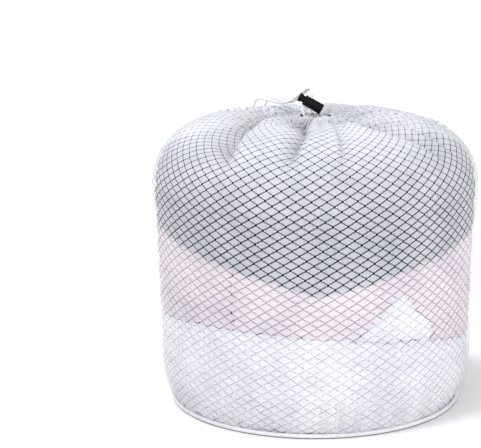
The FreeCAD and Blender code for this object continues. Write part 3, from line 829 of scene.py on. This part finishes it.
def cell_rings():
    """The closed rings of corners in one lattice cell: its holes, then its close diamond."""
    rising = np.array([DIAMOND_WIDTH / 2, DIAMOND_HEIGHT / 2])
    falling = np.array([-DIAMOND_WIDTH / 2, DIAMOND_HEIGHT / 2])
    rings = [ring_of((0, 0), CORNER_HOLE, 6, 0.35)]
    for index, share in enumerate(RISING_PORES):
        centre = rising * share + (0.04 * MM * index, -0.03 * MM)
        rings.append(ring_of(centre, EDGE_PORE, 4, 0.3 + 0.2 * index))
    for index, share in enumerate(FALLING_PORES):
        centre = falling * share + (0.03 * MM, 0.05 * MM * index)
        rings.append(ring_of(centre, EDGE_PORE * 0.8, 4, 0.5 + 0.3 * index))
    low, high = STRIP, 1 - STRIP
    side = ((low + CHAMFER, low), (0.5, low), (high - CHAMFER, low))
    diamond = [*side, *((1 - n, m) for m, n in side)]
    diamond += [(1 - m, 1 - n) for m, n in diamond]
    rings.append([tuple(rising * m + falling * n) for m, n in diamond])
    return rising, falling, rings


def kind_of(cell):
    """What the knit is at a place in a lattice cell."""
    off_rising = abs(cell[1] - round(cell[1]))
    off_falling = abs(cell[0] - round(cell[0]))
    if max(off_rising, off_falling) < STRIP + CHAMFER / 2:
        return EYELET
    if off_rising < STRIP:
        return RISING
    return FALLING if off_falling < STRIP else DIAMOND


def knit_tile():
    """One lattice cell: its corners, the middle of each corner's hole, triangles of (corner, steps
    along each edge), where those corners lie in cells, and what each triangle is."""
    rising, falling, rings = cell_rings()
    local = np.array([corner for ring in rings for corner in ring])
    middles = np.array([np.mean(ring, 0) for ring in rings[:-1] for _ in ring] + rings[-1])
    reach = range(-2, 3)
    points, owners, edges, holes = [], [], [], []
    for m in reach:
        for n in reach:
            base = m * rising + n * falling
            start = 0
            for ring in rings:
                first = len(points)
                for i, corner in enumerate(ring):
                    points.append(Vector(base + corner))
                    owners.append((start + i, m, n))
                    edges.append((first + i, first + (i + 1) % len(ring)))
                start += len(ring)
            for ring in rings[:-1]:
                middle = np.mean(ring, 0)
                holes.append((*(base + middle), np.linalg.norm(ring - middle, axis=1).max()))
    made = delaunay_2d_cdt(points, edges, [], 0, 1e-9)
    old = [entry[0] for entry in made[3]]
    basis = np.linalg.inv(np.stack([rising, falling], 1))
    holes = np.array(holes)
    triangles, places, kinds = [], [], []
    for face in made[2]:
        corners = np.array([made[0][i] for i in face])
        middle = corners.mean(0)
        cell = basis @ middle
        in_hole = (np.linalg.norm(holes[:, :2] - middle, axis=1) < holes[:, 2] * HOLE_CUT).any()
        if in_hole or not (0 <= cell[0] < 1 and 0 <= cell[1] < 1):
            continue
        triangles.append([owners[old[i]] for i in face])
        places.append(corners @ basis.T)
        kinds.append(kind_of(cell))
    return local, middles, np.array(triangles), np.array(places), np.array(kinds)


def knit_rows(rows):
    """Knit cloth of a number of half-diamond rows, closed round: places on it, and triangles."""
    local, middles, triangles, places, kinds = knit_tile()
    count = len(local)
    columns = DIAMONDS_ROUND
    row = np.repeat(np.arange(rows), columns)
    column = np.tile(np.arange(columns), rows) * 2 + row % 2
    at = row[:, None] * DIAMOND_HEIGHT / 2 + middles[None, :, 1]
    drawn = 1 - HOLE_CLOSING * smooth_step(at, BUNCHED_FROM, BUNCHED_TO)
    reach = local - middles
    around = column[:, None] * DIAMOND_WIDTH / 2 + middles[None, :, 0] + reach[None, :, 0] * drawn
    along = at + reach[None, :, 1] * drawn
    around, along = (around + along * LATTICE_LEAN).ravel(), along.ravel()
    corner, m, n = triangles[..., 0], triangles[..., 1], triangles[..., 2]
    at_row = row[:, None, None] + (m + n)[None]
    at_column = (column[:, None, None] + (m - n)[None]) % (2 * columns)
    index = (at_row * columns + at_column // 2) * count + corner[None]
    kept = ((at_row >= 0) & (at_row < rows)).all(-1)
    places = np.broadcast_to(places, (len(row), *places.shape))[kept]
    return around, along, index[kept], places, np.broadcast_to(kinds, kept.shape)[kept]


def knit_panel():
    """The side panel: knit cloth from under the binding to the hem."""
    rows = int(PANEL_LENGTH / (DIAMOND_HEIGHT / 2)) + 3
    around, along, triangles, places, kinds = knit_rows(rows)
    along = along - DIAMOND_HEIGHT / 2
    clamped = np.clip(along, 0, PANEL_LENGTH)
    points = on_bag(around, clamped)
    whole = not_slivers(points, triangles)
    points, triangles, kept = used_only(points, triangles[whole])
    panel = triangle_object("side_panel_knit", points, triangles)
    lay_lattice(panel, places[whole])
    turn = around[kept] / BAG_RADIUS
    radius = np.interp(clamped[kept], outline_along, outline[:, 0])
    # Painted shade in the creases and gathers, with the puckers over the base seam counted four
    # times.
    crease_shade_depth = crease_depth(turn, radius, clamped[kept]) + 4 * pucker_depth(turn, clamped[kept])
    lay_crease_shade(panel, np.clip(crease_shade_depth / FULL_SHADE, 0, 1)[triangles])
    shares = clamped[kept][triangles].mean(1)
    bearings = around[kept][triangles].mean(1) / BAG_RADIUS
    uneven = 0.006 * wandering(np.cos(bearings) * 0.2, np.sin(bearings) * 0.2 + shares, 8, 0.2)
    bunched = smooth_step(shares + uneven, BUNCHED_FROM, BUNCHED_TO)
    cover = WALL_COVER + bunched * (len(knits) - 1 - WALL_COVER)
    cover = cover + COVER_STEPS[kinds[whole]] * (1 - STRIP_CLOSING * bunched)
    chosen = np.clip(np.round(cover), 0, len(knits) - 1)
    for knit in knits:
        panel.data.materials.append(knit)
    panel.data.polygons.foreach_set("material_index", chosen.astype(np.int32))
    return panel


def not_slivers(points, triangles):
    """Which triangles have a real area."""
    a, b, c = (points[triangles[:, i]] for i in range(3))
    area = np.linalg.norm(np.cross(b - a, c - a), axis=1) / 2
    return area > SLIVER_AREA


def lay_crease_shade(item, depths):
    """Store how deep in a crease each face corner is, from 0 to 1, for the knit's painted shade."""
    layer = item.data.uv_layers.new(name="creases")
    values = np.stack([depths, np.zeros_like(depths)], -1)
    layer.data.foreach_set("uv", values.astype(np.float32).ravel())


def lay_lattice(item, places):
    """Store where each face corner lies in the lattice, in cells, for the knit's material."""
    layer = item.data.uv_layers.new(name="lattice")
    layer.data.foreach_set("uv", places.astype(np.float32).ravel())


def used_only(points, triangles):
    """The points that triangles use, the triangles renumbered, and the points' old numbers."""
    used, renumbered = np.unique(triangles, return_inverse=True)
    return points[used], renumbered.reshape(triangles.shape), used


panel = settle(knit_panel(), "bag", "mesh", "mesh_side_panel")


BASE_INSET = 2.6 * MM
BASE_HEIGHT = 0.7 * MM
BASE_RIPPLE = 0.15 * MM


def knit_base():
    """The round base of the same knit, flat on the floor inside the binding."""
    local, _, triangles, places, kinds = knit_tile()
    count = len(local)
    radius = binding_high.x - BASE_INSET
    rows = 2 * int(radius / (DIAMOND_HEIGHT / 2)) + 2
    columns = 2 * int(radius / DIAMOND_WIDTH) + 3
    row = np.repeat(np.arange(rows), columns)
    column = np.tile(np.arange(columns), rows) * 2 + row % 2
    x = (column[:, None] - columns) * DIAMOND_WIDTH / 2 + local[None, :, 0]
    y = (row[:, None] - rows / 2) * DIAMOND_HEIGHT / 2 + local[None, :, 1]
    x, y = x.ravel(), y.ravel()
    corner, m, n = triangles[..., 0], triangles[..., 1], triangles[..., 2]
    at_row = row[:, None, None] + (m + n)[None]
    at_column = column[:, None, None] + (m - n)[None]
    index = (at_row * columns + at_column // 2) * count + corner[None]
    kept = ((at_row >= 0) & (at_row < rows) & (at_column >= 0) & (at_column < 2 * columns)).all(-1)
    z = BASE_HEIGHT + BASE_RIPPLE * wandering(x, y, 5, 0.03)
    points = np.stack([x, y, z], 1)
    places = np.broadcast_to(places, (len(row), *places.shape))[kept]
    kinds = np.broadcast_to(kinds, kept.shape)[kept]
    index = index[kept]
    inside = (np.hypot(x, y)[index] < radius).all(-1)
    points, faces, _ = used_only(points, index[inside])
    base = triangle_object("base_panel_knit", points, faces)
    lay_lattice(base, places[inside])
    lay_crease_shade(base, np.zeros(faces.shape))
    for knit in knits:
        base.data.materials.append(knit)
    chosen = WALL_COVER + COVER_STEPS[kinds[inside]]
    base.data.polygons.foreach_set("material_index", chosen.astype(np.int32))
    return base


base_panel = settle(knit_base(), "bag", "mesh", "mesh_base_panel")


# ---------------------------------------------------------------- binding, stitches, tape, hem

STITCHES = 120
BINDING_SQUARENESS = 2.2
PINCH = 0.12


def binding_roll():
    """Tape folded over the base seam, pinched a little at and between its stitches."""
    around = np.linspace(0, 2 * math.pi, STITCHES * 10, endpoint=False)
    half_high = (binding_high.z - binding_low.z) / 2
    half_wide = 1.7 * MM
    middle = binding_high.x - half_wide
    section = np.radians(np.arange(0, 360, 30))
    points = []
    for angle in around:
        pinch = math.cos(STITCHES * angle) ** 8
        for turn in section:
            c, s = math.cos(turn), math.sin(turn)
            power = BINDING_SQUARENESS
            square = (abs(c) ** power + abs(s) ** power) ** (-1 / power)
            lean = 0.14 * MM * math.sin(angle * STITCHES / 2 + s)
            reach = middle + half_wide * square * c * (1 - PINCH * pinch * (c > 0)) - abs(lean)
            height = half_high + half_high * square * s * 0.97
            points.append((reach * math.cos(angle), reach * math.sin(angle), height))
    item = mesh_object("base_binding", points, grid_faces(len(around), len(section), True, True))
    item.data.materials.append(binding_cloth)
    return item


binding = settle(binding_roll(), "bag", "tape", "base_seam_binding")
finish_node("base_seam_stitches", thread_cloth)


def seam_tape():
    """The tape over the upright seam, inside the back of the bag."""
    width = 11 * MM
    inset = -1.7 * MM
    along = np.linspace(0.002, PANEL_LENGTH - 0.002, 160)
    across = np.linspace(-width / 2, width / 2, 9)
    grid_along, grid_across = np.meshgrid(along, across, indexing="ij")
    radius = np.interp(grid_along, outline_along, outline[:, 0])
    narrow = np.minimum(1, radius / BAG_RADIUS * 1.6)
    turn = math.pi * BAG_RADIUS + grid_across * BAG_RADIUS / radius * narrow
    ripple = 0.12 * MM * np.sin(grid_along / 0.0045)
    points = on_bag(turn, grid_along, inset + ripple).reshape(-1, 3)
    item = mesh_object("seam_tape", points, grid_faces(len(along), len(across)))
    item.data.materials.append(tape_cloth)
    return item


tape = settle(seam_tape(), "bag", "tape", "side_seam_tape")


# Waves of pleats round the hem, two pleats to a wave, and the fine ripples over them.
PLEAT_WAVES = 17
PLEAT_RIPPLES = 61


def gathered_hem():
    """The cord's casing, bunched into a ring of pleats round the mouth."""
    ring = (HEM_RADIUS + hem_opening()) / 2
    middle = (hem_low.z + hem_high.z) / 2
    around = np.linspace(0, 2 * math.pi, 720, endpoint=False)
    section = np.radians(np.arange(0, 360, 12))
    turn, pitch = np.meshgrid(around, section, indexing="ij")
    uneven = 0.9 * np.sin(2 * turn + 0.4) + 0.6 * np.sin(5 * turn + 1.3)
    pleat = np.abs(np.sin(PLEAT_WAVES * turn + uneven + 0.35 * np.sin(pitch * 2 + turn * 3))) ** 0.7
    fine = np.sin(PLEAT_RIPPLES * turn + 3 * uneven + pitch)
    reach = (2.6 + 2.4 * pleat + 0.15 * fine) * MM
    slot = np.exp(-(signed_turn(turn - math.pi) / 0.33) ** 2) * smooth_step(np.sin(pitch), 0.2, 0.9)
    reach = reach - slot * 2.6 * MM
    top = 1.0 + 0.12 * np.sin(9 * turn + 0.5)
    radius = ring + reach * np.cos(pitch)
    height = middle + reach * np.sin(pitch) * 1.12 * top
    points = np.stack([radius * np.cos(turn), radius * np.sin(turn), height], -1).reshape(-1, 3)
    item = mesh_object("gathered_hem", points, grid_faces(len(around), len(section), True, True))
    item.data.materials.append(hem_cloth)
    return item


def hem_opening():
    """Radius of the hole in the middle of the gathered hem."""
    points = np.array([v.co for v in nodes["drawcord_channel"].data.vertices])
    return np.hypot(points[:, 0], points[:, 1]).min()


hem = settle(gathered_hem(), "bag", "mesh", "drawcord_channel")
finish_node("drawcord_loop", cord_cloth)


# ---------------------------------------------------------------- laundry

def remeshed(node, name, voxel):
    """A closed mesh of even quads over a CAD node's solid."""
    item = bpy.data.objects.new(name, nodes[node].data.copy())
    item.data.materials.clear()
    bpy.context.scene.collection.objects.link(item)
    modifier = item.modifiers.new("even", "REMESH")
    modifier.mode = "VOXEL"
    modifier.voxel_size = voxel
    graph = bpy.context.evaluated_depsgraph_get()
    shape = bpy.data.meshes.new_from_object(item.evaluated_get(graph))
    item.modifiers.clear()
    item.data = shape
    item.data.name = name
    return item


# Folded clothes, in millimetres: how far they swell, and the grooves between and across layers.
LAYER_SWELL = 1.0
LAYER_GROOVE = 2.6
FOLD_GROOVE = 1.8


def folded_cloth(node, name, material, slot, layer, tilt, seed):
    """Folded clothes in the space of a CAD solid: stacked soft layers with creases."""
    item = remeshed(node, name, 3.6 * MM)
    mesh = item.data
    count = len(mesh.vertices)
    points = np.zeros(count * 3, np.float32)
    normals = np.zeros(count * 3, np.float32)
    mesh.vertices.foreach_get("co", points)
    mesh.vertices.foreach_get("normal", normals)
    points = points.reshape(-1, 3).astype(float)
    normals = normals.reshape(-1, 3).astype(float)
    x, y, z = points.T
    turn = np.arctan2(y, x)
    sway = 0.004 * wandering(np.cos(turn) * 0.15, np.sin(turn) * 0.15, seed, 0.16)
    level = (z + x * tilt + sway) / layer
    edge = np.abs(level - np.round(level))
    groove = np.exp(-(edge / 0.09) ** 2)
    side = np.clip(np.hypot(normals[:, 0], normals[:, 1]), 0, 1)
    creases = np.abs(wandering(x + z * 0.4, y - z * 0.5, seed + 20, 0.07))
    folds = np.exp(-(creases / 0.12) ** 2)
    depth = -LAYER_SWELL + LAYER_GROOVE * groove * side + FOLD_GROOVE * folds
    points -= normals * depth[:, None] * MM
    mesh.vertices.foreach_set("co", points.astype(np.float32).ravel())
    mesh.polygons.foreach_set("use_smooth", [True] * len(mesh.polygons))
    mesh.update()
    mesh.materials.append(material)
    settle(item, "bag", slot, node)


folded_cloth("white_laundry_lower", "white_towels", white_cloth, "white_cloth", 26 * MM, 0.145, 31)
folded_cloth("white_laundry_corner", "white_corner", white_cloth, "white_cloth", 30 * MM, 0.0, 32)
folded_cloth("pink_laundry_left", "pink_clothes_left", pink_cloth, "pink_cloth", 24 * MM, 0.0, 33)
folded_cloth("pink_laundry_right", "pink_clothes_right", pink_cloth, "pink_cloth", 22 * MM,
             0.05, 34)
folded_cloth("dark_laundry_left", "dark_clothes_left", dark_cloth, "dark_cloth", 27 * MM, 0.03, 35)
folded_cloth("dark_laundry_right", "dark_clothes_right", dark_cloth, "dark_cloth", 25 * MM,
             -0.02, 36)


# ---------------------------------------------------------------- cord lock

finish_node("cord_lock_barrel", black_plastic)
finish_node("cord_lock_plunger", black_plastic)


def press_spring():
    """The coil in the barrel, of spring steel, on the cord lock's body."""
    node = nodes["cord_lock_spring"]
    spring = bpy.data.objects.new("press_spring", node.data.copy())
    bpy.context.scene.collection.objects.link(spring)
    spring.data.materials.clear()
    spring.data.materials.append(spring_steel)
    settle(spring, "cord_lock", "spring_steel", "cord_lock_spring")
    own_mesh(spring)


press_spring()


# ---------------------------------------------------------------- floor and light

bpy.ops.mesh.primitive_plane_add(size=60, location=(0, 0, 0))
floor = bpy.context.object
floor.name = "floor"
floor.data.materials.append(floor_material())


def area_light(name, place, aim, width, power):
    """A round lamp of a width in metres and a power in watts that points at a place."""
    data = bpy.data.lights.new(name, "AREA")
    data.shape = "DISK"
    data.size = width
    data.energy = power
    item = bpy.data.objects.new(name, data)
    bpy.context.scene.collection.objects.link(item)
    item.location = place
    item.rotation_mode = "QUATERNION"
    item.rotation_quaternion = (Vector(aim) - Vector(place)).to_track_quat("-Z", "Y")


middle = (0, 0, 0.15)
area_light("key", (-0.9, -0.9, 1.9), middle, 0.5, 17)
area_light("fill", (1.3, -1.6, 0.7), middle, 1.4, 18)
area_light("top", (-0.8, 0.4, 1.6), middle, 0.4, 9)

world = bpy.data.worlds.new("studio")
bpy.context.scene.world = world
world.use_nodes = True
world.node_tree.nodes["Background"].inputs["Color"].default_value = (1, 1, 1, 1)
world.node_tree.nodes["Background"].inputs["Strength"].default_value = 0.50
bpy.context.scene.view_settings.view_transform = "Standard"
